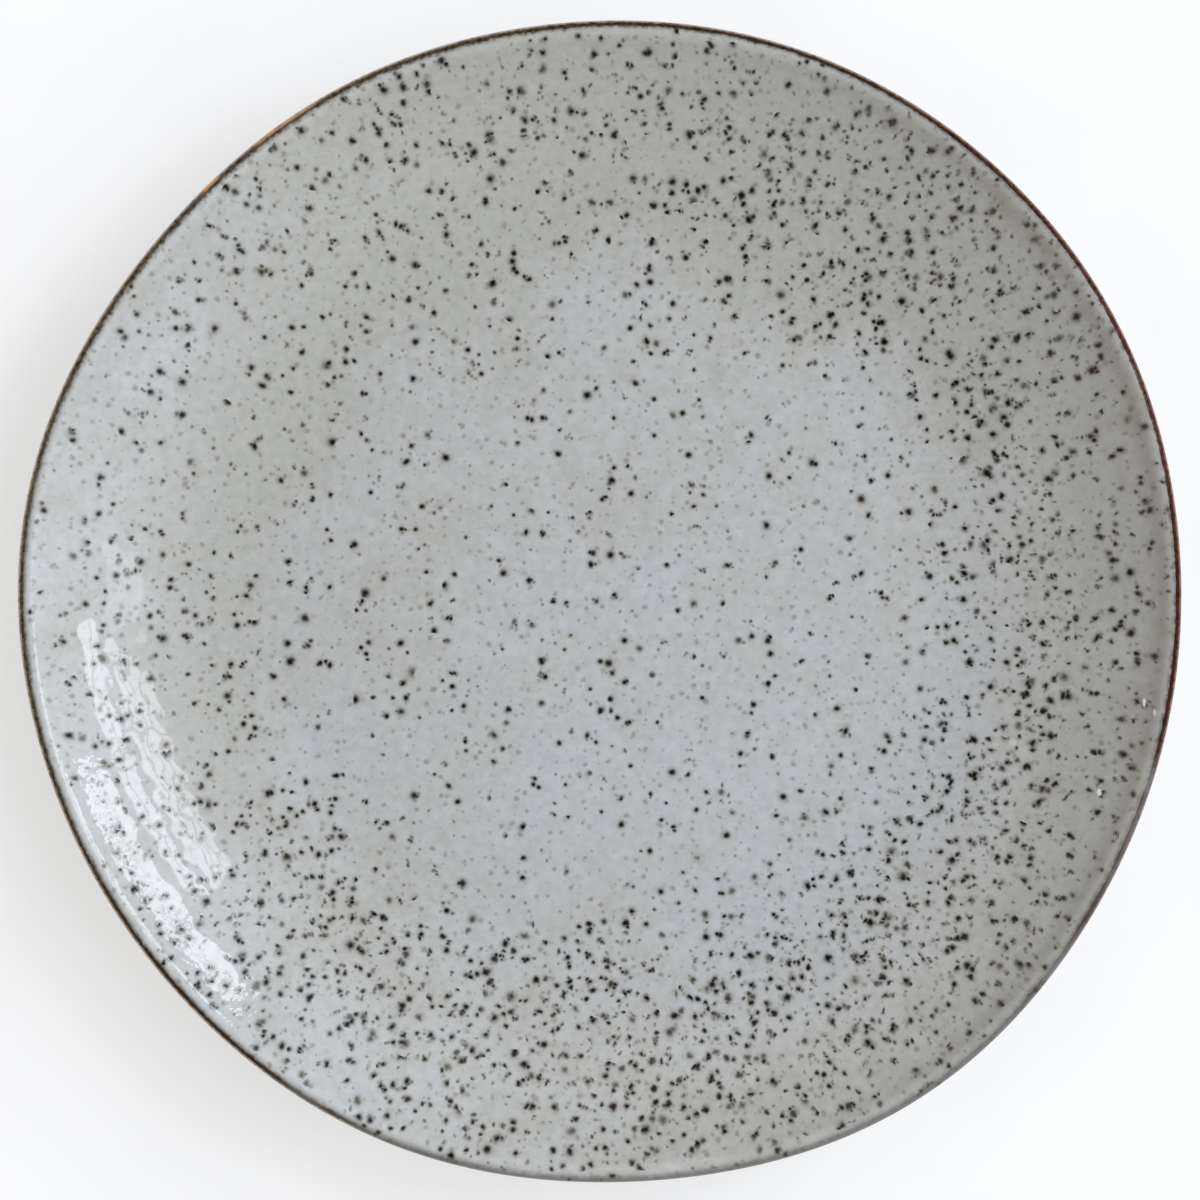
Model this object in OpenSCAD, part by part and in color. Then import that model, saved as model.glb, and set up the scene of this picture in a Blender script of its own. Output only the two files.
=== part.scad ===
// Coupe dinner plate in stoneware: a flat well, an upswept wall with no flat rim, a luted foot ring
// and three fired coats of glaze that meet at an iron-brown band over the lip.
// Millimetres, +Z up, origin on the table under the middle of the well.

/* [Plate] */
// Mean width across the rim
plate_w = 274; // [240:1:300]
// Width of the flat well
well_w = 152; // [130:1:170]
// Slope of the wall where it reaches the lip, in degrees
rim_slope = 40; // [25:1:48]

/* [Clay] */
// Thickness of the floor of the well
floor_t = 5; // [4:0.1:7]
// Thickness of the wall at the lip
lip_t = 3.6; // [3:0.1:4.5]

/* [Foot ring] */
// How far the ring stands inside the edge of the well
foot_inset = 4; // [3:0.5:15]
// Thickness of the ring where it joins the body
foot_t = 6; // [5:0.5:10]
// Height of the ring
foot_h = 3.5; // [2.5:0.1:5]
// How far each side of the ring leans in towards the table
foot_lean = 0.6; // [0:0.1:1]
// Chamfer beside the bearing face
foot_edge = 0.7; // [0.3:0.1:1]

/* [Glaze] */
// Thickness of the fired coats
glaze_t = 0.5; // [0.3:0.05:0.8]
// Bare clay left between the coats and the foot ring
bare_gap = 1.5; // [0.5:0.1:2.5]

/* [Uneven outline] */
// Reach of the oval swing past the mean edge
lobe2_reach = 0.36; // [0:0.02:1.5]
// Direction of its crest, in degrees from +X towards +Y
lobe2_crest = 62; // [0:1:180]
// Reach of the three wide lobes
lobe3_reach = 1; // [0:0.02:2]
// Direction of a crest of the three lobes
lobe3_crest = 57; // [0:1:120]
// Reach of the five lobes
lobe5_reach = 0.46; // [0:0.02:1]
// Direction of a crest of the five lobes
lobe5_crest = 26; // [0:1:72]
// Reach of the six lobes
lobe6_reach = 0.3; // [0:0.02:1]
// Direction of a crest of the six lobes
lobe6_crest = 0; // [0:1:60]
// Reach of the eight small lobes
lobe8_reach = 0.2; // [0:0.02:0.6]
// Direction of a crest of the eight small lobes
lobe8_crest = 29; // [0:1:45]
// How far the rim dips for each millimetre that it reaches out
rim_dip = 0.4; // [0:0.05:0.8]

/* [Hidden] */

// Facets round the plate, along the wall's arc and over the lip
sides = 90;
wall_steps = 8;
lip_steps = 6;

// Steps over the lip, from face to underside, where the brown band starts and ends
band_first = 2;
band_last = 5;

// Levels: the table is at 0, the foot ring lifts the body, the well's clay floor is above it
floor_z = foot_h + floor_t;

// The lip is a half circle that ends the wall square to its slope
lip_r = lip_t / 2;
lip_x = plate_w / 2 - lip_r - glaze_t;

// The wall's clay face is an arc, level where it leaves the well and at rim_slope where it meets the lip
well_r = well_w / 2;
wall_r = (lip_x - lip_r * sin(rim_slope) - well_r) / sin(rim_slope);
lip_z = floor_z + wall_r * (1 - cos(rim_slope)) - lip_r * cos(rim_slope);

// The foot ring and the bare margins beside it
foot_out_r = well_r - foot_inset;
foot_in_r = foot_out_r - foot_t;
coat_in_r = foot_out_r + bare_gap;
base_r = foot_in_r - bare_gap;

// How far the rim reaches past its mean radius in direction a
function reach(a) =
    lobe2_reach * cos(2 * (a - lobe2_crest)) +
    lobe3_reach * cos(3 * (a - lobe3_crest)) +
    lobe5_reach * cos(5 * (a - lobe5_crest)) +
    lobe6_reach * cos(6 * (a - lobe6_crest)) +
    lobe8_reach * cos(8 * (a - lobe8_crest));

// Clay thickness at share u of the way up the wall
function clay_t(u) = floor_t + (lip_t - floor_t) * u;

// A section point is [radius, height, share of the rim's unevenness that it takes].
// Point at share u of the way up the wall, the given depth below the clay face
function wall_point(u, depth) =
    [well_r + (wall_r + depth) * sin(u * rim_slope),
     floor_z + wall_r - (wall_r + depth) * cos(u * rim_slope),
     u * u];

// Point at share v of the way over the lip, from the face to the underside
function lip_point(v, r) =
    [lip_x + r * cos(90 + rim_slope - 180 * v),
     lip_z + r * sin(90 + rim_slope - 180 * v),
     1];

// The section's lines, each from the well out to the lip or over the lip from face to underside
ups = [for (i = [0 : wall_steps]) i / wall_steps];
overs = [for (i = [0 : lip_steps]) i / lip_steps];
clay_face = [for (u = ups) wall_point(u, 0)];
glaze_face = [for (u = ups) wall_point(u, -glaze_t)];
clay_under = [for (u = ups) wall_point(u, clay_t(u))];
glaze_under = [for (u = ups) wall_point(u, clay_t(u) + glaze_t)];
clay_lip = [for (v = overs) lip_point(v, lip_r)];
glaze_lip = [for (v = overs) lip_point(v, lip_r + glaze_t)];

function stretch(line, first, last) = [for (i = [first : last]) line[i]];
function backwards(line) = [for (i = [len(line) - 1 : -1 : 0]) line[i]];

// A section point carried round the plate to direction a
function placed(p, a) =
    let (r = p[0] + p[2] * reach(a), z = p[1] - p[2] * rim_dip * reach(a))
    [r * cos(a), r * sin(a), z];
function ring(p) = [for (j = [0 : sides - 1]) placed(p, j * 360 / sides)];

// Two triangles between rings a and b at side j, where first is the index of ring 0. Touching solids run
// along a shared line in opposite senses, so the diagonal turns with the sense and their faces agree.
function patch(first, a, b, j, outward) =
    let (k = (j + 1) % sides,
         a0 = first + a * sides + j, a1 = first + a * sides + k,
         b0 = first + b * sides + j, b1 = first + b * sides + k)
    outward ? [[a0, a1, b1], [a0, b1, b0]] : [[a0, a1, b0], [a1, b1, b0]];

// A solid turned from a section that starts on the axis, runs out over the top and comes back below
module turned(top_z, line, bottom_z) {
    last = len(line) - 1;
    low = 1 + len(line) * sides;
    polyhedron(
        points = concat([[0, 0, top_z]], [for (p = line) each ring(p)], [[0, 0, bottom_z]]),
        faces = concat(
            [for (j = [0 : sides - 1]) [0, 1 + (j + 1) % sides, 1 + j]],
            [for (i = [0 : last - 1], j = [0 : sides - 1])
                each patch(1, i, i + 1, j, line[i + 1][0] > line[i][0])],
            [for (j = [0 : sides - 1])
                [1 + last * sides + j, 1 + last * sides + (j + 1) % sides, low]]));
}

// A hoop turned from a closed section that runs out over the top and comes back below
module hoop(line) {
    count = len(line);
    polyhedron(
        points = [for (p = line) each ring(p)],
        faces = [for (i = [0 : count - 1], j = [0 : sides - 1])
            each patch(0, i, (i + 1) % count, j, line[(i + 1) % count][0] > line[i][0])]);
}

// The clay: flat well, wall thinning towards the lip, rounded lip, flat underside for the foot ring
module stoneware_body() {
    color("#8C7765")
        turned(
            floor_z,
            concat(clay_face, stretch(clay_lip, 1, lip_steps - 1), backwards(clay_under)),
            foot_h);
}

// The bare clay ring luted under the well, which stands on the table
module foot_ring() {
    color("#A58A70")
        rotate_extrude($fn = sides)
            polygon([
                [foot_in_r, foot_h],
                [foot_in_r + foot_lean, foot_edge],
                [foot_in_r + foot_lean + foot_edge, 0],
                [foot_out_r - foot_lean - foot_edge, 0],
                [foot_out_r - foot_lean, foot_edge],
                [foot_out_r, foot_h]]);
}

// The speckled coat over the well and the wall, which rolls onto the lip and ends square at the band
module face_glaze() {
    color("#B2B6B5")
        turned(
            floor_z + glaze_t,
            concat(
                glaze_face, stretch(glaze_lip, 1, band_first),
                backwards(concat(clay_face, stretch(clay_lip, 1, band_first)))),
            floor_z);
}

// The iron-brown band round the outside of the lip, end to end with the coats above and below it
module rim_band() {
    color("#4A3428")
        hoop(concat(
            stretch(glaze_lip, band_first, band_last),
            backwards(stretch(clay_lip, band_first, band_last))));
}

// The coat under the wall, from the band to a bare margin beside the foot ring
module underside_glaze() {
    color("#A9ADAB")
        hoop(concat(
            [[coat_in_r, foot_h, 0]], clay_under,
            backwards(stretch(clay_lip, band_last, lip_steps - 1)),
            stretch(glaze_lip, band_last, lip_steps - 1),
            backwards(glaze_under), [[coat_in_r, foot_h - glaze_t, 0]]));
}

// The round patch of glaze under the well, inside the foot ring
module base_glaze() {
    color("#A9ADAB")
        translate([0, 0, foot_h - glaze_t])
            cylinder(h = glaze_t, r = base_r, $fn = sides);
}

stoneware_body();
foot_ring();
face_glaze();
rim_band();
underside_glaze();
base_glaze();
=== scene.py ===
import math

import bpy
import numpy as np
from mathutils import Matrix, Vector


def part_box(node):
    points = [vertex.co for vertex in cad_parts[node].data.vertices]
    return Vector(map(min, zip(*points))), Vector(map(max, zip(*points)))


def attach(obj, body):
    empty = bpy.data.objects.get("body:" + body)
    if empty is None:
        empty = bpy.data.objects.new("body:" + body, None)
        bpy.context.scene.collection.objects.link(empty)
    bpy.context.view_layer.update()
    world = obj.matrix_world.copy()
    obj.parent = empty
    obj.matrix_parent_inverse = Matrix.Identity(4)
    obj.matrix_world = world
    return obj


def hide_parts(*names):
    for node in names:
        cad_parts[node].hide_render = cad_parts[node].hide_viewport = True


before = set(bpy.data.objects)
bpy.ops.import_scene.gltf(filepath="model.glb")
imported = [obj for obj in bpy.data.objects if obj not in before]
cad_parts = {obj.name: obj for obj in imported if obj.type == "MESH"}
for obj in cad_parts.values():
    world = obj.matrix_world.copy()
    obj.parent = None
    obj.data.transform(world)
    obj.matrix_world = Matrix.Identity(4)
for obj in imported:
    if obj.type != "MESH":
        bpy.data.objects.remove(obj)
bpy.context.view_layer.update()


# Stoneware body
# A disc of iron-bearing clay pressed over a mould, with a flat well, a wall that sweeps up and a round lip.
# The coats hide all of it but two bare margins beside the foot ring, so its solid stays and gets its clay.


MM = 0.001


def add(tree, kind, values=None, **options):
    """Adds one shader node: options are its settings, values maps sockets to numbers, colours or outputs."""
    made = tree.nodes.new("ShaderNode" + kind)
    for name, value in options.items():
        setattr(made, name, value)
    for socket, value in (values or {}).items():
        if isinstance(value, bpy.types.NodeSocket):
            tree.links.new(value, made.inputs[socket])
        else:
            made.inputs[socket].default_value = value
    return made


def calc(tree, operation, *terms):
    """One Math node on up to three numbers or outputs; gives its output."""
    return add(tree, "Math", dict(enumerate(terms)), operation=operation).outputs[0]


def product(tree, first, *others):
    """The product of numbers or outputs; gives its output."""
    for other in others:
        first = calc(tree, "MULTIPLY", first, other)
    return first


def sized(tree, vector, factor):
    """A vector or a colour times a number; gives its output."""
    return add(tree, "VectorMath", {0: vector, "Scale": factor}, operation="SCALE").outputs[0]


def ramp(tree, value, start, end, low=0.0, high=1.0):
    """A smooth step from low to high as value goes from start to end; gives its output."""
    span = {"Value": value, "From Min": start, "From Max": end, "To Min": low, "To Max": high}
    return add(tree, "MapRange", span, interpolation_type="SMOOTHSTEP").outputs[0]


def blend_colours(tree, share, first, second):
    """Mixes two colours by share; gives the mixed colour."""
    return add(tree, "Mix", {0: share, 6: first, 7: second}, data_type="RGBA").outputs[2]


def noise(tree, vector, scale, detail=2.0, output=0):
    """A noise over vector with that many waves to a unit; gives its value, or its colour with output=1."""
    values = {"Vector": vector, "Scale": scale, "Detail": detail}
    return add(tree, "TexNoise", values).outputs[output]


def effect(name, inputs, outputs):
    """Starts a shader node group with named inputs and outputs; gives its tree, inputs and output node."""
    tree = bpy.data.node_groups.new(name, "ShaderNodeTree")
    for socket, kind in inputs.items():
        tree.interface.new_socket(socket, in_out="INPUT", socket_type="NodeSocket" + kind)
    for socket, kind in outputs.items():
        tree.interface.new_socket(socket, in_out="OUTPUT", socket_type="NodeSocket" + kind)
    return tree, tree.nodes.new("NodeGroupInput").outputs, tree.nodes.new("NodeGroupOutput")


def put_out(tree, out, **results):
    """Joins a group's results to its output sockets."""
    for socket, value in results.items():
        tree.links.new(value, out.inputs[socket])


def surface(name, **sockets):
    """Starts a material with a Principled BSDF; gives the material, its tree and the shader."""
    made = bpy.data.materials.new(name)
    made.use_nodes = True
    tree = made.node_tree
    shader = next(n for n in tree.nodes if n.type == "BSDF_PRINCIPLED")
    for socket, value in sockets.items():
        shader.inputs[socket.replace("_", " ")].default_value = value
    return made, tree, shader


def millimetres(tree):
    """The piece's own coordinates, in millimetres."""
    return sized(tree, add(tree, "TexCoord").outputs["Object"], 1 / MM)


def clay_effect():
    """Bare fired clay: buff mottle, dark iron grit in single cells and a sandy relief in millimetres."""
    dark_buff = (0.33, 0.235, 0.155, 1)
    pale_buff = (0.45, 0.345, 0.245, 1)
    grit_colour = (0.06, 0.04, 0.03, 1)
    grit_share = 0.22
    grit_depth = 0.7
    sand_height = 0.06
    tree, given, out = effect("bare_clay", {"Vector": "Vector"}, {"Color": "Color", "Height": "Float"})
    place = given["Vector"]
    mottle = ramp(tree, noise(tree, place, 0.09, 3.0), 0.35, 0.65)
    colour = blend_colours(tree, mottle, dark_buff, pale_buff)
    cells = add(tree, "TexVoronoi", {"Vector": place, "Scale": 0.9}).outputs
    draw = add(tree, "SeparateColor", {0: cells["Color"]}).outputs[0]
    chosen = calc(tree, "LESS_THAN", draw, grit_share)
    grit = product(tree, ramp(tree, cells["Distance"], 0.1, 0.3, 1.0, 0.0), chosen, grit_depth)
    colour = blend_colours(tree, grit, colour, grit_colour)
    sand = noise(tree, place, 2.4, 3.0)
    put_out(tree, out, Color=colour, Height=product(tree, sand, sand_height))
    return tree


def bare_clay():
    """Matt clay from the bare clay effect."""
    made, tree, shader = surface("bare_clay", Roughness=0.82)
    clay = tree.nodes.new("ShaderNodeGroup")
    clay.node_tree = clay_effect()
    tree.links.new(millimetres(tree), clay.inputs["Vector"])
    tree.links.new(clay.outputs["Color"], shader.inputs["Base Color"])
    relief = add(tree, "Bump", {"Height": clay.outputs["Height"], "Distance": MM})
    tree.links.new(relief.outputs[0], shader.inputs["Normal"])
    return made


clay = bare_clay()
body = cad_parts["stoneware_body"]
body.data.materials.clear()
body.data.materials.append(clay)


# Foot ring
# A low ring of the same clay, luted under the well when leather-hard and turned true. It is left bare so
# that the plate doesn't stick in the kiln, and its bearing face is ground flat.


TURNS = 600
angles = np.arange(TURNS) * (2 * math.pi / TURNS)

foot_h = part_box("foot_ring")[1][2]
foot_out = 72.0 * MM
foot_thick = 6.0 * MM
foot_lean = 0.6 * MM
foot_round = 0.7 * MM
foot_in = foot_out - foot_thick
turning_depth = 0.05 * MM
turning_waves = 3
turning_twist = 40
turned_up_to = 0.98 * foot_h
flat_steps = 8


def lathe(name, rows, start=None, end=None):
    """A closed mesh from rows of points round the axis, each row a ring. The rows run out over the top and
    come back below; start and end close the first and last ring at a point, and without them the rows form
    a hoop."""
    count, turns = rows.shape[:2]
    points = rows.reshape(-1, 3)
    ring = np.arange(count * turns).reshape(count, turns)
    after = np.roll(ring, -1, axis=1)
    last = count if start is None else count - 1
    low = np.roll(ring, -1, axis=0)[:last]
    low_after = np.roll(after, -1, axis=0)[:last]
    quads = np.stack([ring[:last], low, low_after, after[:last]], axis=-1).reshape(-1, 4)
    faces = quads.tolist()
    if start is not None:
        points = np.vstack([points, start, end])
        top = np.full(turns, len(points) - 2)
        bottom = np.full(turns, len(points) - 1)
        faces += np.stack([top, ring[0], after[0]], axis=-1).tolist()
        faces += np.stack([bottom, after[-1], ring[-1]], axis=-1).tolist()
    mesh = bpy.data.meshes.new(name)
    mesh.from_pydata(points.tolist(), [], faces)
    mesh.shade_smooth()
    made = bpy.data.objects.new(name, mesh)
    bpy.context.collection.objects.link(made)
    return made


def corner(r, z, radius, start, stop, steps=5):
    """Points of a rounded corner about (r, z), from angle start to stop in degrees."""
    turn = np.radians(np.linspace(start, stop, steps))
    return np.stack([r + radius * np.cos(turn), z + radius * np.sin(turn)], axis=-1)


def flat(start, stop, steps):
    """Points of a straight stretch of a section, without its two ends."""
    return np.linspace(start, stop, steps)[1:-1]


def turned_rows(line, dents):
    """Rings from a section line of radius and height, with dents of each point towards the axis."""
    r = line[:, :1] - dents
    z = np.broadcast_to(line[:, 1:], r.shape)
    return np.stack([r * np.cos(angles), r * np.sin(angles), z], axis=-1)


def stand(piece, node):
    """A piece that takes the place of a solid and keeps to the plate's one body."""
    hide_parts(node)
    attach(piece, "root")


bearing_out = foot_out - foot_lean - foot_round
bearing_in = foot_in + foot_lean + foot_round
foot_line = np.vstack([
    [[foot_in, foot_h], [foot_out, foot_h]],
    flat([foot_out, foot_h], [foot_out - foot_lean, foot_round], flat_steps),
    corner(bearing_out, foot_round, foot_round, 0, -90),
    flat([bearing_out, 0], [bearing_in, 0], flat_steps),
    corner(bearing_in, foot_round, foot_round, 270, 180),
    flat([foot_in + foot_lean, foot_round], [foot_in, foot_h], flat_steps),
])

# The turning tool leaves a shallow mark on both sides that comes and goes three times round the ring
on_side = ((foot_line[:, 1] > foot_round) & (foot_line[:, 1] < turned_up_to))[:, None]
outward = np.where(foot_line[:, :1] > foot_out - foot_thick / 2, 1, -1)
wander = 0.5 + 0.5 * np.cos(turning_waves * angles + turning_twist * foot_line[:, 1:] / foot_h)
foot = lathe("turned_foot", turned_rows(foot_line, on_side * outward * turning_depth * wander))
foot.data.materials.append(clay)
stand(foot, "foot_ring")


# Face glaze
# The coat poured over the well and the wall: a pale blue-grey glass that pools cool and clear in the well
# and thins on the wall, where more of the clay's iron burns through as dark specks. It rolls onto the lip.


plate_r = 136.85 * MM
well_r = 76.0 * MM
rim_slope = math.radians(40)
clay_floor_t = 5.0 * MM
lip_t = 3.6 * MM
rim_dip = 0.4

# The lobes of the uneven edge: how many, how far they reach in millimetres, and the direction of a crest
LOBES = ((2, 0.36, 62), (3, 1.0, 57), (5, 0.46, 26), (6, 0.3, 0), (8, 0.2, 29))

base_low, base_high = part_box("base_glaze")
glaze_t = base_high[2] - base_low[2]
floor_z = foot_h + clay_floor_t
lip_r = lip_t / 2
lip_x = plate_r - lip_r - glaze_t
wall_r = (lip_x - lip_r * math.sin(rim_slope) - well_r) / math.sin(rim_slope)
lip_z = floor_z + wall_r * (1 - math.cos(rim_slope)) - lip_r * math.cos(rim_slope)

# The roll leaves the wall this far short of the lip; the band covers this stretch of the way over the lip
roll_back = 3.0 * MM
roll_starts = 1 - roll_back / (wall_r * rim_slope)
roll_pull = 1.15
band_starts = 1 / 3
band_ends = 5 / 6


def reach(angle):
    """How far the uneven edge stands past its mean radius: a sum of cosine lobes."""
    return sum(far * MM * np.cos(count * (angle - math.radians(crest))) for count, far, crest in LOBES)


def wall_line(ups, depth):
    """Section points up the wall's arc at shares ups, depth below the clay face, as radius, height and share
    of the edge's unevenness, which grows with the square of the way up."""
    turn = ups * rim_slope
    deep = wall_r + depth
    return np.stack([well_r + deep * np.sin(turn), floor_z + wall_r - deep * np.cos(turn), ups**2], axis=-1)


def lip_line(overs, radius):
    """Section points over the half-round lip at shares overs, from the face to the underside."""
    turn = math.pi / 2 + rim_slope - math.pi * overs
    r = lip_x + radius * np.cos(turn)
    z = lip_z + radius * np.sin(turn)
    return np.stack([r, z, np.ones_like(overs)], axis=-1)


def roll_line(steps):
    """Section points of the glaze's roll, from the wall short of the lip to the start of the band: a cubic
    curve that leaves the wall along its slope and meets the band along the lip's."""
    start = wall_line(np.array([roll_starts]), -glaze_t)[0]
    end = lip_line(np.array([band_starts]), lip_r + glaze_t)[0]
    rise = roll_starts * rim_slope
    fall = math.pi / 2 + rim_slope - math.pi * band_starts
    pull = np.linalg.norm(end[:2] - start[:2]) * roll_pull
    leaving = np.array([math.cos(rise), math.sin(rise), 0]) * pull
    arriving = np.array([math.sin(fall), -math.cos(fall), 0]) * pull
    t = np.linspace(0, 1, steps)[:, None]
    return (
        (2 * t**3 - 3 * t**2 + 1) * start + (t**3 - 2 * t**2 + t) * leaving
        + (3 * t**2 - 2 * t**3) * end + (t**3 - t**2) * arriving)


def carried(line):
    """Carries section points round the plate: the edge's reach adds to the radius and dips the height."""
    out = line[:, 2:] * reach(angles)
    r = line[:, :1] + out
    z = line[:, 1:2] - rim_dip * out
    return np.stack([r * np.cos(angles), r * np.sin(angles), z], axis=-1)


def section_normals(line):
    """Unit normals of a section line that runs out over the top and back, pointing out of the solid."""
    along = np.gradient(line[:, :2], axis=0)
    normal = np.stack([-along[:, 1], along[:, 0]], axis=-1)
    return normal / np.linalg.norm(normal, axis=1, keepdims=True)


def ripple(r, draws, seed):
    """Waves in the glass: short ones with crests that run round the plate for a centimetre or two, and a
    longer swell. Each wave is a cosine of the radius and the angle or of a straight direction, with seeded
    wavelength, slant and phase, and the sum has a spread of about one."""
    pitches = (5, 10)
    usual_pitch = 7 * MM
    most_slant = 95
    lengths = (6, 14)
    chance = np.random.default_rng(seed)
    total = np.zeros((len(r), TURNS))
    x, y = r[:, None] * np.cos(angles), r[:, None] * np.sin(angles)
    for _ in range(draws):
        pitch = chance.uniform(*pitches) * MM
        slant = int(chance.integers(-most_slant, most_slant + 1))
        total += pitch / usual_pitch * np.cos(
            2 * math.pi * r[:, None] / pitch + slant * angles + chance.uniform(0, 2 * math.pi))
    for _ in range(draws):
        length = chance.uniform(*lengths) * MM
        turn = chance.uniform(0, 2 * math.pi)
        way = x * math.cos(turn) + y * math.sin(turn)
        total += np.cos(2 * math.pi * way / length + chance.uniform(0, 2 * math.pi))
    return total / math.sqrt(draws)


def rippled(line, height, seed):
    """Rings of a section line with the glass's waves of that height, as an array, laid along its normals."""
    draws = 20
    normal = section_normals(line)
    rows = carried(line)
    rise = ripple(line[:, 0], draws, seed) * height[:, None]
    rows[..., 0] += rise * normal[:, :1] * np.cos(angles)
    rows[..., 1] += rise * normal[:, :1] * np.sin(angles)
    rows[..., 2] += rise * normal[:, 1:]
    return rows


def mark_edge(piece, line, first, last, poles=0):
    """Stores on each point its distance along the section, in millimetres, from the stretch of band rows;
    inside the stretch it is negative."""
    steps = np.linalg.norm(np.diff(line[:, :2], axis=0), axis=1)
    way = np.concatenate([[0], np.cumsum(steps)]) / MM
    away = np.maximum(way[first] - way, way - way[last])
    values = np.concatenate([np.repeat(away, TURNS), np.full(poles, away.max())])
    edge = piece.data.attributes.new("edge_mm", "FLOAT", "POINT")
    edge.data.foreach_set("value", values.astype(np.float32))


well_rows = 26
wall_rows = 96
roll_rows = 15
hidden_rows = 12
hidden_lip_rows = 5
in_well = np.linspace(0, well_r, well_rows + 1)[1:-1]
well_line = np.stack([in_well, np.full_like(in_well, floor_z + glaze_t), np.zeros_like(in_well)], axis=-1)
onto_lip = np.linspace(0, band_starts, hidden_lip_rows)
face_line = np.vstack([
    well_line,
    wall_line(np.linspace(0, roll_starts, wall_rows), -glaze_t),
    roll_line(roll_rows)[1:],
])
face_hidden = np.vstack([
    lip_line(onto_lip[::-1], lip_r),
    wall_line(np.linspace(1, 0, hidden_rows)[1:], 0),
])
wave_well = 0.008 * MM
wave_wall = 0.011 * MM
wave_rim = 0.004 * MM
wave_height = np.interp(
    face_line[:, 0],
    [0, well_r, well_r + 14 * MM, lip_x - 5 * MM, lip_x],
    [wave_well, wave_well, wave_wall, wave_wall, wave_rim])
face = lathe(
    "speckled_face",
    np.concatenate([rippled(face_line, wave_height, seed=7), carried(face_hidden)]),
    [0, 0, floor_z + glaze_t],
    [0, 0, floor_z])
face_end = len(face_line) - 1
mark_edge(face, np.vstack([face_line, face_hidden]), face_end, face_end, 2)


def vectors(tree, operation, first, second):
    """One Vector Math node that gives a vector from two."""
    return add(tree, "VectorMath", {0: first, 1: second}, operation=operation).outputs["Vector"]


def measured(tree, operation, first, second):
    """One Vector Math node that gives a number from two vectors."""
    return add(tree, "VectorMath", {0: first, 1: second}, operation=operation).outputs["Value"]


def toward(tree, place, degrees):
    """How far a point leans in a direction across the plate: 1 straight that way, -1 straight away."""
    unit = add(tree, "VectorMath", {0: vectors(tree, "MULTIPLY", place, (1, 1, 0))}, operation="NORMALIZE")
    way = (math.cos(math.radians(degrees)), math.sin(math.radians(degrees)), 0)
    return measured(tree, "DOT_PRODUCT", unit.outputs["Vector"], way)


def away_from(tree, place, x, y):
    """Distance across the plate from a point of it."""
    return measured(tree, "DISTANCE", vectors(tree, "MULTIPLY", place, (1, 1, 0)), (x, y, 0))


def sway(tree, place, scale, detail, swing):
    """A noise over place that sways about zero, by half of swing at most to each side."""
    return calc(tree, "MULTIPLY_ADD", noise(tree, place, scale, detail), swing, -swing / 2)


def less(tree, mask, part):
    """One, less that part of a mask."""
    return calc(tree, "MULTIPLY_ADD", mask, -part, 1.0)


def grain_effect():
    """One scatter of iron grains. The plane is cut into cells with a point in each. A cell is in use if its
    own random number is under Chance, and then it holds a grain if another, which Seed renews, is under
    Share; a third sets the grain's size between Least and Most, and a fourth how dark it is, from Faintest
    up. A small grain burns through less, so it is paler. Shift takes a scatter from another stretch of the
    plane. Gives the dark core, the halo about it and the fourth number, with all sizes in millimetres. The
    cell's colour goes through white noise first, because two of its parts are also the point's place."""
    tree, given, out = effect(
        "iron_grains",
        {"Vector": "Vector", "Shift": "Float", "Cell": "Float", "Seed": "Float",
         "Chance": "Float", "Share": "Float", "Least": "Float", "Most": "Float", "Faintest": "Float"},
        {"Core": "Float", "Halo": "Float", "Tone": "Float"})
    scatter_in_cell = 0.7
    fade_in = 12.0
    small_grains = 2.2
    cell = given["Cell"]
    place = vectors(tree, "ADD", given["Vector"], given["Shift"])
    place = sized(tree, place, calc(tree, "DIVIDE", 1.0, cell))
    plane = {"Vector": place, "Scale": 1.0, "Randomness": scatter_in_cell}
    cells = add(tree, "TexVoronoi", plane, voronoi_dimensions="2D").outputs
    tag = cells["Color"]
    used = add(tree, "TexWhiteNoise", {"Vector": tag}, noise_dimensions="3D").outputs["Value"]
    fresh = add(tree, "TexWhiteNoise", {"Vector": tag, "W": given["Seed"]}, noise_dimensions="4D")
    lots = add(tree, "SeparateColor", {0: fresh.outputs["Color"]}).outputs

    # A cell that is only just in use holds a grain that is only just there, so crowds thin out gradually
    spare = product(tree, calc(tree, "SUBTRACT", given["Chance"], used), fade_in)
    spare = calc(tree, "MINIMUM", calc(tree, "MAXIMUM", spare, 0.0), 1.0)
    spare = calc(tree, "POWER", spare, 0.5)
    there = calc(tree, "LESS_THAN", lots[0], given["Share"])
    there = product(tree, there, calc(tree, "GREATER_THAN", spare, 0.0))
    spread = calc(tree, "SUBTRACT", given["Most"], given["Least"])
    size = calc(tree, "MULTIPLY_ADD", spread, calc(tree, "POWER", lots[1], small_grains), given["Least"])
    size = product(tree, size, spare)
    away = product(tree, cells["Distance"], cell)
    core_end = calc(tree, "MULTIPLY_ADD", size, 1.25, 0.15)
    core = ramp(tree, away, product(tree, size, 0.22), core_end, 1.0, 0.0)
    halo = ramp(tree, away, product(tree, size, 0.5), product(tree, size, 2.4), 1.0, 0.0)
    depth = ramp(tree, lots[2], 0.0, 0.5, given["Faintest"], 1.0)
    depth = product(tree, depth, ramp(tree, size, 0.10, 0.55, 0.20, 1.0))
    put_out(
        tree, out,
        Core=product(tree, core, depth, there),
        Halo=product(tree, halo, there),
        Tone=lots[2])
    return tree


iron_grains = grain_effect()


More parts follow.
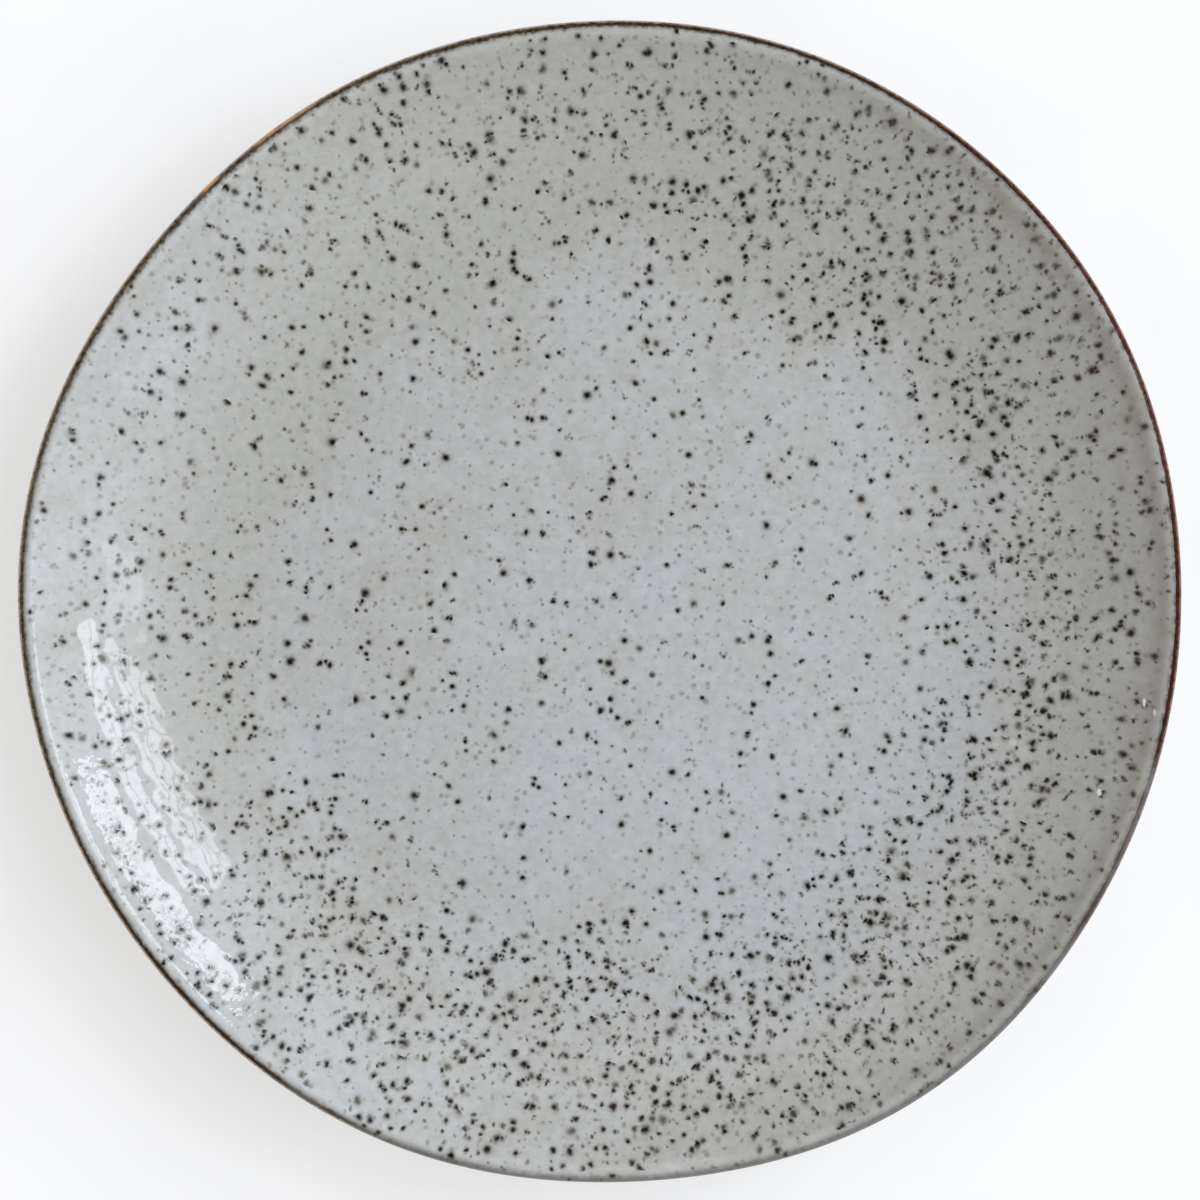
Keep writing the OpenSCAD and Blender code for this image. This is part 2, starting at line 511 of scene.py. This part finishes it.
def glass_colour(tree, given):
    """The clear glass: cool where it pools, then neutral, then olive as it warms, in drifts and patches. It
    has a fine mottle of tone, a paler bead beside the band and faint tan clouds."""
    cool = (0.488, 0.505, 0.519, 1)
    neutral = (0.482, 0.487, 0.475, 1)
    olive = (0.434, 0.436, 0.402, 1)
    tan = (0.40, 0.365, 0.28, 1)
    place, edge = given["Vector"], given["Edge"]
    warm = calc(tree, "ADD", given["Warm"], sway(tree, place, 0.045, 3.0, 1.7))
    warm = calc(tree, "ADD", warm, sway(tree, place, 0.16, 3.0, 1.2))
    colour = blend_colours(tree, ramp(tree, warm, -0.20, 0.60), cool, neutral)
    colour = blend_colours(tree, ramp(tree, warm, 0.40, 1.20), colour, olive)
    mottle = ramp(tree, noise(tree, place, 0.5, 5.0), 0.25, 0.75, 0.935, 1.065)
    bead = product(tree, ramp(tree, edge, 2.0, 4.2, 0.05, 0.0), ramp(tree, edge, 0.4, 1.4))
    colour = sized(tree, colour, product(tree, mottle, calc(tree, "ADD", bead, 1.0)))
    clouds = ramp(tree, noise(tree, place, 0.2, 4.0), 0.52, 0.75, 0.0, 0.16)
    return blend_colours(tree, clouds, colour, tan)


def crowding(tree, given):
    """How closely the grains lie: in loose flocks, most where the coat is thin, sparser on the roll of glaze
    beside the band and in a wide strip within it at the far right."""
    place, edge = given["Vector"], given["Edge"]
    flock = ramp(tree, noise(tree, place, 0.13, 2.0), 0.33, 0.67, 0.40, 1.60)
    on_roll = ramp(tree, edge, 0.6, 3.2, 0.45, 1.0)
    far_right = ramp(tree, toward(tree, place, 0), 0.75, 1.0)
    spared = product(tree, ramp(tree, edge, 18.0, 32.0, 0.30, 0.0), far_right)
    return product(tree, given["Thin"], flock, on_roll, calc(tree, "SUBTRACT", 1.0, spared))


def lean(tree, place, scale, far, shift):
    """A smooth field of small sideways steps, as a vector: a colour noise about zero times far, read at a
    stretch of the plane that is shifted by that many millimetres."""
    field = noise(tree, vectors(tree, "ADD", place, (shift, -shift, 0)), scale, 0.0, 1)
    field = vectors(tree, "SUBTRACT", field, (0.5, 0.5, 0.5))
    return sized(tree, field, far)


def iron_specks(tree, given, colour):
    """Lays the iron grains on a colour: pale dust, then halos, then dark cores. Grains lie singly and in
    clusters. A cluster is one scatter read again at a few places beside it, so that its grains touch and
    form dashes, hooks and chains. Gives the colour, the cores and the halos."""
    dust_colour = (0.16, 0.132, 0.085, 1)
    halo_colour = (0.20, 0.180, 0.125, 1)
    black_iron = (0.004, 0.004, 0.003, 1)
    rusty_iron = (0.035, 0.020, 0.010, 1)
    dust_depth = 0.58
    halo_depth = 0.42
    seed_step = 7.3
    place = given["Vector"]
    crowd = crowding(tree, given)
    alone = product(tree, crowd, 0.52)
    common = product(tree, crowd, 0.67)
    dusty = calc(tree, "MULTIPLY_ADD", crowd, 0.25, 0.5)
    bend = calc(tree, "MULTIPLY_ADD", given["Thin"], 0.5, 0.2)
    bent = vectors(tree, "ADD", place, lean(tree, place, 0.8, bend, 0.0))
    strewn = vectors(tree, "ADD", place, lean(tree, place, 0.9, 0.8, 1700.0))
    second_step = lean(tree, place, 0.08, 3.6, 900.0)
    one_on = vectors(tree, "ADD", bent, lean(tree, place, 0.07, 3.4, 400.0))
    other_on = vectors(tree, "ADD", bent, second_step)
    two_on = vectors(tree, "ADD", one_on, second_step)

    # Each scatter's name, place, Chance, Cell, Shift, Share, Least, Most and Faintest
    scatters = {}
    for name, vector, chance, cell, shift, share, least, most, faintest in (
        ("dust", strewn, dusty, 2.9, 1000.0, 1.0, 0.30, 0.74, 0.30),
        ("dust_2", strewn, dusty, 3.7, 2900.0, 1.0, 0.30, 0.74, 0.30),
        ("single", bent, alone, 3.0, 1300.0, 1.0, 0.28, 0.86, 0.70),
        ("knot", bent, common, 4.8, 1700.0, 1.0, 0.36, 1.16, 0.70),
        ("knot_2", one_on, common, 4.8, 1700.0, 0.70, 0.31, 0.90, 0.70),
        ("knot_3", other_on, common, 4.8, 1700.0, 0.55, 0.31, 0.88, 0.70),
        ("knot_4", two_on, common, 4.8, 1700.0, 0.45, 0.31, 0.82, 0.70),
        ("pair", other_on, common, 5.5, 2300.0, 1.0, 0.34, 0.98, 0.70),
        ("pair_2", two_on, common, 5.5, 2300.0, 0.70, 0.31, 0.86, 0.70),
    ):
        scatter = tree.nodes.new("ShaderNodeGroup")
        scatter.node_tree = iron_grains
        tree.links.new(vector, scatter.inputs["Vector"])
        tree.links.new(chance, scatter.inputs["Chance"])
        for socket, value in (
            ("Cell", cell), ("Shift", shift), ("Seed", seed_step * len(scatters)),
            ("Share", share), ("Least", least), ("Most", most), ("Faintest", faintest),
        ):
            scatter.inputs[socket].default_value = value
        scatters[name] = scatter.outputs
    core, halo = scatters["single"]["Core"], scatters["single"]["Halo"]
    for name in ("knot", "knot_2", "knot_3", "knot_4", "pair", "pair_2"):
        core = calc(tree, "MAXIMUM", core, scatters[name]["Core"])
        halo = calc(tree, "MAXIMUM", halo, scatters[name]["Halo"])
    dust = calc(tree, "MAXIMUM", scatters["dust"]["Core"], scatters["dust_2"]["Core"])
    rust = ramp(tree, scatters["knot"]["Tone"], 0.9, 0.98)
    colour = blend_colours(tree, product(tree, dust, dust_depth), colour, dust_colour)
    colour = blend_colours(tree, product(tree, halo, halo_depth), colour, halo_colour)
    colour = blend_colours(tree, core, colour, blend_colours(tree, rust, black_iron, rusty_iron))
    return colour, core, halo


def rim_stain(tree, given, colour, ragged, right):
    """Iron that has run into the glass beside the band on the right: an even stain and some olive blots."""
    stain_colour = (0.15, 0.130, 0.095, 1)
    blot_colour = (0.28, 0.255, 0.175, 1)
    on_roll = ramp(tree, given["Edge"], 0.3, 3.2, 0.45, 1.0)
    stain = product(tree, ramp(tree, ragged, 0.2, 10.0, 0.42, 0.0), right, on_roll)
    colour = blend_colours(tree, stain, colour, stain_colour)
    clumps = ramp(tree, noise(tree, given["Vector"], 0.1, 3.0), 0.52, 0.70, 0.0, 0.4)
    blots = product(tree, clumps, right, ramp(tree, given["Edge"], 3.0, 18.0, 1.0, 0.0))
    return blend_colours(tree, blots, colour, blot_colour)


def band_colour(tree, given, stripes, right, below):
    """The band's own colour: near-black brown that turns red on the right, olive on the left and a grey veil
    at the bottom. Its crest and outer face are tan, and two spots at the upper left are a copper streak
    painted bright as a glint of the window: copper colour and painted highlight together."""
    black_brown = (0.032, 0.020, 0.011, 1)
    red_brown = (0.032, 0.009, 0.003, 1)
    olive_brown = (0.090, 0.073, 0.046, 1)
    grey_veil = (0.085, 0.076, 0.072, 1)
    tan = (0.42, 0.325, 0.240, 1)
    red_tan = (0.30, 0.160, 0.105, 1)
    copper_and_painted_glint = (0.56, 0.30, 0.13, 1)
    long_spot_at = 123.8
    short_spot_at = 133.4
    place, edge = given["Vector"], given["Edge"]
    red = ramp(tree, calc(tree, "MULTIPLY_ADD", stripes, 0.8, toward(tree, place, 5)), 0.5, 1.0)
    olive = product(tree, ramp(tree, toward(tree, place, 150), 0.3, 0.95), 0.9)
    uneven = ramp(tree, noise(tree, place, 0.9, 3.0), 0.3, 0.7, 0.40, 1.8)
    colour = blend_colours(tree, red, black_brown, red_brown)
    colour = blend_colours(tree, olive, colour, olive_brown)
    colour = sized(tree, colour, uneven)
    colour = blend_colours(tree, below, colour, grey_veil)
    long_spot = ramp(tree, toward(tree, place, long_spot_at), 0.9972, 0.9990)
    short_spot = ramp(tree, toward(tree, place, short_spot_at), 0.9997, 0.9999)
    spots = calc(tree, "MAXIMUM", long_spot, short_spot)
    fringe = product(
        tree, ramp(tree, edge, -1.7, -0.6, 0.95, 0.0), uneven, ramp(tree, edge, -2.9, -2.0, 0.40, 1.0),
        less(tree, below, 0.9), less(tree, spots, 0.7))
    fringe_colour = blend_colours(tree, right, tan, red_tan)
    colour = blend_colours(tree, calc(tree, "MINIMUM", fringe, 0.9), colour, fringe_colour)
    # Painted highlight: the copper spots are lit bright in the colour itself. They are a copper streak with
    # a painted glint on it.
    glints = product(
        tree, ramp(tree, noise(tree, place, 0.3, 2.0), 0.28, 0.48), ramp(tree, edge, -0.9, -0.1, 1.0, 0.0),
        ramp(tree, edge, -2.4, -1.8))
    return blend_colours(tree, product(tree, spots, glints), colour, copper_and_painted_glint)


def band_cover(tree, given, ragged, nibbled, right, below):
    """Where the band shows: up to a ragged inner edge, which reaches further in at the lower right, the
    upper left and the right, but not a little above that. At the bottom it fades early and stays thin."""
    place = given["Vector"]
    lower_right = ramp(tree, toward(tree, place, -48), 0.75, 1.0, 0.0, 0.35)
    upper_left = ramp(tree, toward(tree, place, 128), 0.72, 0.97)
    narrow = ramp(tree, toward(tree, place, 24), 0.95, 0.995, 0.0, 1.4)
    edge = calc(tree, "SUBTRACT", ragged, lower_right)
    edge = calc(tree, "SUBTRACT", edge, calc(tree, "MULTIPLY_ADD", upper_left, 0.24, 0.10))
    edge = calc(tree, "MULTIPLY_ADD", upper_left, nibbled, edge)
    edge = calc(tree, "MULTIPLY_ADD", calc(tree, "SUBTRACT", right, narrow), -0.2, edge)
    full_at = calc(tree, "MULTIPLY_ADD", below, -0.6, -0.45)
    return product(tree, ramp(tree, edge, full_at, 0.95, 1.0, 0.0), less(tree, below, 0.3))


def glass_relief(tree, given, halo):
    """The glass's surface, in millimetres: it lies in short wrinkles, wells up softly about each grain and
    is finely dimpled near the band."""
    rim_dimples = 0.065
    face_dimples = 0.004
    wrinkles = 0.014
    swelling = 0.008
    place = given["Vector"]
    depth = ramp(tree, given["Edge"], 9.0, 14.0, rim_dimples, face_dimples)
    dimpled = product(tree, noise(tree, place, 0.55, 1.0), depth)
    wrinkled = calc(tree, "MULTIPLY_ADD", noise(tree, place, 0.3, 0.0), wrinkles, dimpled)
    return calc(tree, "MULTIPLY_ADD", halo, swelling, wrinkled)


def glaze_effect():
    """The speckled glaze. Thin says how thin the coat lies: there it lets more iron through. Warm turns the
    glass from blue-grey to olive. Edge is the distance from the brown band: close to it the coat has run off
    the lip and breaks to iron brown. The bare iron of the grains and the band has a dull metal sheen. Gives
    the colour, the roughness, the share of metal and the relief in millimetres."""
    glass_rough = 0.035
    band_rougher = 0.25
    grain_metal = 0.65
    band_metal = 0.75
    tree, given, out = effect(
        "speckled_glaze",
        {"Vector": "Vector", "Thin": "Float", "Warm": "Float", "Edge": "Float"},
        {"Color": "Color", "Roughness": "Float", "Metal": "Float", "Height": "Float"})
    place = given["Vector"]
    right = ramp(tree, toward(tree, place, 0), 0.1, 0.9)
    stripes = sway(tree, place, 0.06, 4.0, 0.8)
    below = ramp(tree, calc(tree, "ADD", toward(tree, place, -70), stripes), 0.50, 0.95)
    nibbled = sway(tree, place, 1.0, 2.0, -0.8)
    ragged = calc(tree, "ADD", given["Edge"], sway(tree, place, 0.45, 3.0, -0.9))
    ragged = calc(tree, "ADD", ragged, nibbled)
    colour, core, halo = iron_specks(tree, given, glass_colour(tree, given))
    colour = rim_stain(tree, given, colour, ragged, right)
    band = band_colour(tree, given, stripes, right, below)
    broken = band_cover(tree, given, ragged, nibbled, right, below)
    metal = calc(
        tree, "MAXIMUM",
        ramp(tree, core, 0.5, 1.0, 0.0, grain_metal), ramp(tree, broken, 0.6, 1.0, 0.0, band_metal))
    put_out(
        tree, out,
        Color=blend_colours(tree, broken, colour, band),
        Roughness=calc(tree, "MULTIPLY_ADD", broken, band_rougher, glass_rough),
        Metal=metal,
        Height=glass_relief(tree, given, halo))
    return tree


speckled_glaze = glaze_effect()
glass_index = 1.52


def glaze(name, index=glass_index):
    """A glossy coat of the speckled glaze of that refractive index; gives the material, its tree, its shader
    and the coat's node."""
    made, tree, shader = surface(name, IOR=index)
    coat = tree.nodes.new("ShaderNodeGroup")
    coat.node_tree = speckled_glaze
    tree.links.new(millimetres(tree), coat.inputs["Vector"])
    edge = add(tree, "Attribute", attribute_name="edge_mm")
    tree.links.new(edge.outputs["Fac"], coat.inputs["Edge"])
    tree.links.new(coat.outputs["Color"], shader.inputs["Base Color"])
    tree.links.new(coat.outputs["Roughness"], shader.inputs["Roughness"])
    tree.links.new(coat.outputs["Metal"], shader.inputs["Metallic"])
    relief = add(tree, "Bump", {"Height": coat.outputs["Height"], "Distance": MM})
    tree.links.new(relief.outputs[0], shader.inputs["Normal"])
    return made, tree, shader, coat


def face_thinness(tree, place, radius, drift):
    """How thin the face's coat lies: thin on a ring of the wall that drifts in and out, most of all to the
    lower right and the top, thicker to the left and beside the rim, and thickest in the well."""
    ring = ramp(tree, calc(tree, "ADD", radius, drift), 70.0, 104.0)
    swing = ramp(tree, radius, 72.0, 108.0, 0.23, 0.55)
    side = calc(tree, "MULTIPLY_ADD", toward(tree, place, -50), swing, 0.66)
    top = ramp(tree, toward(tree, place, 82), 0.1, 0.9)
    side = calc(tree, "MULTIPLY_ADD", top, ramp(tree, radius, 98.0, 125.0, 0.18, 0.58), side)
    side = calc(tree, "SUBTRACT", side, ramp(tree, toward(tree, place, 168), 0.5, 1.0, 0.0, 0.18))
    thin = product(tree, ring, side, ramp(tree, radius, 108.0, 130.0, 1.0, 0.66))
    return calc(tree, "MULTIPLY_ADD", thin, 0.94, 0.31)


def face_warmth(tree, place, radius, drift):
    """How warm the face's glass is: coolest in the well at the lower right, warm on the wall from the top
    round to the far right, and cool again on the left of the wall."""
    warm = ramp(tree, away_from(tree, place, 45, -50), 20.0, 108.0, 0.0, 0.5)
    wall_warmth = calc(tree, "MULTIPLY_ADD", toward(tree, place, 115), 0.25, 0.62)
    early = calc(tree, "MULTIPLY_ADD", toward(tree, place, 130), 9.0, drift)
    on_wall = ramp(tree, calc(tree, "ADD", radius, early), 78.0, 104.0)
    warm = calc(tree, "MULTIPLY_ADD", wall_warmth, on_wall, warm)
    far_right = product(tree, ramp(tree, toward(tree, place, -15), 0.2, 0.85), 0.35)
    warm = calc(tree, "MULTIPLY_ADD", far_right, ramp(tree, radius, 104.0, 124.0), warm)
    left = product(
        tree, ramp(tree, toward(tree, place, 188), 0.0, 0.8), 0.6, ramp(tree, radius, 102.0, 120.0))
    return calc(tree, "SUBTRACT", warm, left)


def painted_glints_and_pinholes(tree, place, colour):
    """Three painted glints, white or pale tan ovals on the wall that stand in for the window's reflection in
    small pits of the glass, and three pinholes that show the buff clay: soft ovals, each with its place, its
    half width and half height in millimetres and its colour."""
    painted_glint_white = (1.0, 1.0, 1.0, 1)
    # Painted highlights: the white ovals and the pale tan one beside the first stand in for glints of the
    # window in the wall; the darker tan ovals are pinholes.
    for x, y, half_x, half_y, paint in (
        (126.9, -23.6, 0.36, 1.30, painted_glint_white),
        (129.0, -25.9, 0.36, 0.95, (0.80, 0.74, 0.66, 1)),
        (116.8, -44.9, 0.60, 0.95, painted_glint_white),
        (93.9, -34.3, 0.80, 0.60, (0.64, 0.54, 0.44, 1)),
        (97.8, -33.6, 0.95, 0.85, (0.68, 0.58, 0.48, 1)),
        (89.8, 47.1, 0.80, 0.55, (0.62, 0.53, 0.44, 1)),
    ):
        squeezed = vectors(tree, "MULTIPLY", place, (1 / half_x, 1 / half_y, 0))
        far = measured(tree, "DISTANCE", squeezed, (x / half_x, y / half_y, 0))
        colour = blend_colours(tree, ramp(tree, far, 0.4, 1.2, 0.9, 0.0), colour, paint)
    return colour


def face_glaze():
    """The face's coat of glaze, with its thinness and warmth from place to place, painted glints and
    pinholes.
    """
    made, tree, shader, coat = glaze("face_glaze")
    place = millimetres(tree)
    radius = away_from(tree, place, 0, 0)
    drift = sway(tree, place, 0.04, 2.0, 26.0)
    tree.links.new(face_thinness(tree, place, radius, drift), coat.inputs["Thin"])
    tree.links.new(face_warmth(tree, place, radius, drift), coat.inputs["Warm"])
    tree.links.new(painted_glints_and_pinholes(tree, place, coat.outputs["Color"]), shader.inputs["Base Color"])
    return made


def bake_map(piece, seen_rows, rows, poles):
    """Lays the piece's map flat: the seen rings from straight above, the hidden ones as a small disc in a
    free corner of the square, each ring inside the one before it."""
    seen_half = 0.495
    corner_centre = 0.075
    corner_radius = 0.07
    mesh = piece.data
    loop_points = np.empty(len(mesh.loops), dtype=np.int64)
    mesh.loops.foreach_get("vertex_index", loop_points)
    points = np.empty(len(mesh.vertices) * 3)
    mesh.vertices.foreach_get("co", points)
    points = points.reshape(-1, 3)
    row = np.arange(rows * TURNS) // TURNS
    row = np.concatenate([row, [-1, rows][:poles]])
    sizes = np.empty(len(mesh.polygons), dtype=np.int64)
    mesh.polygons.foreach_get("loop_total", sizes)
    face_of_loop = np.repeat(np.arange(len(sizes)), sizes)
    deepest = np.full(len(sizes), -2)
    np.maximum.at(deepest, face_of_loop, row[loop_points])
    seen = (deepest < seen_rows)[face_of_loop]
    across = points[loop_points, :2]
    above = 0.5 + seen_half * across / np.abs(points[:, :2]).max()
    turn = np.arctan2(across[:, 1], across[:, 0])
    inset = 1 - (row[loop_points] - seen_rows + 1) / (rows - seen_rows + 1)
    disc = inset[:, None] * np.stack([np.cos(turn), np.sin(turn)], axis=-1)
    tucked = corner_centre + corner_radius * disc
    layer = mesh.uv_layers.new(name="OFBake")
    layer.data.foreach_set("uv", np.where(seen[:, None], above, tucked).astype(np.float32).ravel())


bake_map(face, len(face_line), len(face_line) + len(face_hidden), 2)
face.data.materials.append(face_glaze())
stand(face, "face_glaze")


# Rim band
# The band round the outside of the lip, where the melted glaze runs thin and the clay's iron shows brown,
# with a tan crest. It is the same coat, end to end with the face and the underside.


def coat_of(name, thin, warm, index=glass_index):
    """A coat of the glaze with the same thinness and warmth all over."""
    made, _, _, coat = glaze(name, index)
    coat.inputs["Thin"].default_value = thin
    coat.inputs["Warm"].default_value = warm
    return made


band_rows = 14
dull_index = 1.20
over_band = np.linspace(band_starts, band_ends, band_rows)
band_line = np.vstack([
    lip_line(over_band, lip_r + glaze_t),
    lip_line(over_band[::-1], lip_r),
])
band = lathe("iron_rim", carried(band_line))
mark_edge(band, band_line, 0, len(band_line) - 1)
band.data.materials.append(coat_of("rim_glaze", thin=0.5, warm=0.6, index=dull_index))
stand(band, "rim_band")


# Underside glaze
# The coat under the wall, from the brown band to a bare margin beside the foot ring. It was poured on the
# slope, where it lies in soft waves, and is a little more speckled than the well.


coat_gap = 1.5 * MM
coat_in = foot_out + coat_gap
margin_z = foot_h - glaze_t
margin_round = 0.3 * glaze_t
down_lip_rows = 6


def clay_t(ups):
    """Clay thickness up the wall, thinning evenly from the floor to the lip."""
    return clay_floor_t + (lip_t - clay_floor_t) * ups


down_lip = np.linspace(band_ends, 1, down_lip_rows)
down_wall = np.linspace(1, 0, wall_rows)
back_up = np.linspace(0, 1, hidden_rows)
under_seen = np.vstack([
    lip_line(down_lip[:-1], lip_r + glaze_t),
    wall_line(down_wall, clay_t(down_wall) + glaze_t),
    [[coat_in + glaze_t, margin_z, 0], [coat_in + margin_round, margin_z + margin_round, 0]],
])
under_hidden = np.vstack([
    [[coat_in, foot_h, 0]],
    wall_line(back_up, clay_t(back_up)),
    lip_line(down_lip[-2::-1], lip_r),
])
under_line = np.vstack([under_seen, under_hidden])
under_wave = np.interp(
    under_seen[:, 0], [coat_in, well_r + 10 * MM, lip_x - 6 * MM, lip_x], [0, wave_wall, wave_wall, 0])
under_rows = np.concatenate([rippled(under_seen, under_wave, seed=11), carried(under_hidden)])
under = lathe("speckled_underside", under_rows)
mark_edge(under, under_line, 0, 0)
bake_map(under, len(under_seen), len(under_line), 0)
under.data.materials.append(coat_of("underside_glaze", thin=0.5, warm=0.55))
stand(under, "underside_glaze")


# Base glaze
# A round patch of glaze under the well, inside the foot ring and clear of the table. Its edge is a soft
# meniscus where the wet coat was wiped back from the foot.


base_r = foot_in - coat_gap
base_z = base_low[2]
base_steps = 40
far_from_band = 50.0
meniscus = corner(base_r - glaze_t, foot_h, glaze_t, 0, -90, steps=6)
base_line = np.vstack([meniscus, flat([base_r - glaze_t, base_z], [0, base_z], base_steps)])
base_wave = np.interp(base_line[:, 0], [0, base_r - 6 * MM, base_r - glaze_t], [wave_well, wave_well, 0])
base_rows = rippled(np.column_stack([base_line, np.zeros(len(base_line))]), base_wave, seed=5)
base_rows[..., 2] = np.maximum(base_rows[..., 2], base_z)
base = lathe("base_patch", base_rows, [0, 0, foot_h], [0, 0, base_z])
base_edge = base.data.attributes.new("edge_mm", "FLOAT", "POINT")
base_edge.data.foreach_set("value", np.full(len(base.data.vertices), far_from_band, dtype=np.float32))
base.data.materials.append(coat_of("base_glaze", thin=0.3, warm=0.5))
stand(base, "base_glaze")


# Stage
# A plain pale floor, a window of rows of panes to the right that shows in the left of the wall, a warm
# surround that is brighter about the window and dark overhead, and a camera straight above the plate.


def floor_paint():
    """Matt white floor that glows a little of its own, with a barely visible grain."""
    white = (1, 1, 1, 1)
    dark_grain = (0.56, 0.56, 0.56, 1)
    pale_grain = (0.58, 0.58, 0.58, 1)
    made, tree, shader = surface("floor", Roughness=0.9, Emission_Strength=0.42, Emission_Color=white)
    grain = ramp(tree, noise(tree, millimetres(tree), 0.02, 2.0), 0.3, 0.7)
    paint = blend_colours(tree, grain, dark_grain, pale_grain)
    tree.links.new(paint, shader.inputs["Base Color"])
    return made


floor_half = 20.0
floor_corners = [
    (-floor_half, -floor_half, 0),
    (floor_half, -floor_half, 0),
    (floor_half, floor_half, 0),
    (-floor_half, floor_half, 0),
]
floor_mesh = bpy.data.meshes.new("floor")
floor_mesh.from_pydata(floor_corners, [], [(0, 1, 2, 3)])
floor_mesh.materials.append(floor_paint())
floor = bpy.data.objects.new("floor", floor_mesh)
bpy.context.collection.objects.link(floor)

daylight = (0.93, 0.98, 1.07)
warm_wall = (1.03, 1.0, 0.955)
wall_light = 0.66
overhead_light = 0.10
glow_light = 1.21
glow_narrow = 3.0
glow_bearing = math.radians(9)
glow_height = math.radians(38)
glow_way = (
    math.cos(glow_height) * math.cos(glow_bearing),
    math.cos(glow_height) * math.sin(glow_bearing),
    math.sin(glow_height))
world = bpy.data.worlds.new("surround")
world.use_nodes = True
room = world.node_tree
sky = next(n for n in room.nodes if n.type == "BACKGROUND")
way = add(room, "TexCoord").outputs["Generated"]
up = add(room, "SeparateXYZ", {0: way}).outputs[2]
facing = calc(room, "MAXIMUM", measured(room, "DOT_PRODUCT", way, glow_way), 0.0)
glow = calc(room, "POWER", facing, glow_narrow)
walls = ramp(room, up, 0.80, 0.97, wall_light, overhead_light)
tint = blend_colours(room, ramp(room, glow, 0.0, 0.6), (*warm_wall, 1), (*daylight, 1))
room.links.new(tint, sky.inputs["Color"])
room.links.new(calc(room, "MULTIPLY_ADD", glow, glow_light, walls), sky.inputs["Strength"])
bpy.context.scene.world = world

window_away = 1.5


def pane(name, bearing, spread, low, high, radiance):
    """An upright lit pane facing the plate: bearing and spread across, low and high up, all in degrees as
    seen from the plate, with its radiance, which is its power over four times its area."""
    turn = math.radians(bearing)
    bottom = window_away * math.tan(math.radians(low))
    top = window_away * math.tan(math.radians(high))
    light = bpy.data.lights.new(name, "AREA")
    light.shape = "RECTANGLE"
    light.size = 2 * window_away * math.tan(math.radians(spread / 2))
    light.size_y = top - bottom
    light.color = daylight
    light.energy = 4 * radiance * light.size * light.size_y
    made = bpy.data.objects.new(name, light)
    made.location = (window_away * math.cos(turn), window_away * math.sin(turn), (top + bottom) / 2)
    made.rotation_euler = (math.pi / 2, 0, turn + math.pi / 2)
    made.visible_camera = False
    bpy.context.collection.objects.link(made)


# Each row of panes: its two end bearings, its low and high edge, how many panes and their radiance
bar = 0.8
for row, (first, last, low, high, panes, radiance) in enumerate((
    (20, 46, 25.0, 29.6, 3, 4.9),
    (20, 46, 30.2, 35.0, 3, 4.9),
    (4, 36, 38.4, 41.1, 4, 4.3),
    (4, 37, 41.6, 44.2, 4, 4.2),
    (7, 37, 46.2, 48.2, 3, 3.9),
    (8, 37, 48.7, 50.6, 3, 3.8),
    (8, 37, 51.1, 53.0, 3, 3.7),
    (10, 35, 53.5, 55.8, 3, 3.4),
    (-7, 6, 47.0, 56.0, 1, 1.5),
)):
    width = (last - first) / panes
    for across in range(panes):
        pane(f"window_{row}_{across}", first + width * (across + 0.5), width - bar, low, high, radiance)

# The camera hangs over the plate so that its axis and its edge fall on these pixels of the photo
photo_px = 1200
plate_px_radius = 581.7
axis_px = (604.8, 602.2)
px = plate_r / plate_px_radius
lens = bpy.data.cameras.new("camera")
lens.lens = 100
lens.sensor_width = 36
above_rim = photo_px * px * lens.lens / lens.sensor_width
camera = bpy.data.objects.new("camera", lens)
camera.location = (
    (photo_px / 2 - axis_px[0]) * px,
    (axis_px[1] - photo_px / 2) * px,
    lip_z + above_rim)
bpy.context.collection.objects.link(camera)
bpy.context.scene.camera = camera
bpy.context.scene.view_settings.view_transform = "Standard"
